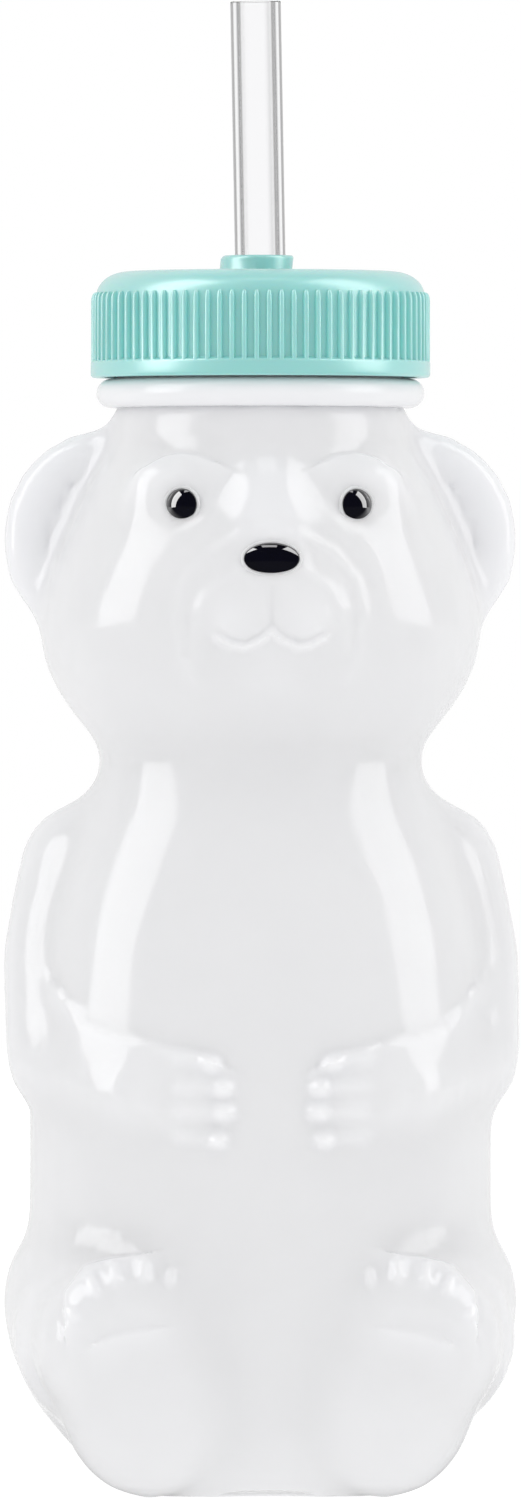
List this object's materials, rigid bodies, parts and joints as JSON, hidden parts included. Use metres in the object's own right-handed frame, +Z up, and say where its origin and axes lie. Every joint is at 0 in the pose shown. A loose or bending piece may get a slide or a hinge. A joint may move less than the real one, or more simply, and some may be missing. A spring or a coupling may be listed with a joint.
{
  "type": "baby straw cup",
  "caption": "Sitting-bear drinking bottle of milky plastic with a ribbed mint screw lid and a clear straw that passes through a raised boss.",
  "frame": {"origin": "centre of the underside, on the axis of the neck", "axes": "+Z up along the neck axis, -Y towards the bear's face, +X towards the bear's left side"},
  "size_m": [0.0632, 0.056, 0.1828],
  "materials": {
    "milky_plastic": "milky translucent, glossy",
    "mint_plastic": "opaque mint green, glossy",
    "dark_gloss": "near-black, high gloss",
    "soft_seal": "soft white silicone",
    "clear_plastic": "clear, smooth"
  },
  "bodies": {
    "bottle": {"bear_bottle": "milky_plastic", "left_eye": "dark_gloss", "right_eye": "dark_gloss", "nose": "dark_gloss"},
    "seal": {"lid_gasket": "soft_seal"},
    "carrier": {"straw_grommet": "soft_seal"},
    "lid": {"lid": "mint_plastic"},
    "straw": {"drinking_straw": "clear_plastic"}
  },
  "joints": [
    {"name": "lid_lift_off", "type": "slide", "parent": "bottle", "child": "seal", "axis": [0, 0, 1], "range_m": [0, 0.16]},
    {"name": "lid_rise", "type": "slide", "parent": "seal", "child": "carrier", "axis": [0, 0, 1], "range_m": [0, 0.0053]},
    {"name": "lid_turn", "type": "hinge", "parent": "carrier", "child": "lid", "pos_m": [0, 0, 0.1432], "axis": [0, 0, 1], "range_deg": [0, 450]},
    {"name": "straw_slide", "type": "slide", "parent": "carrier", "child": "straw", "axis": [-0.0185, 0, 0.9998], "range_m": [-0.002, 0.15]}
  ],
  "couplings": [
    {"joint": "lid_rise", "follows": "lid_turn", "m_per_rad": 0.000673}
  ]
}
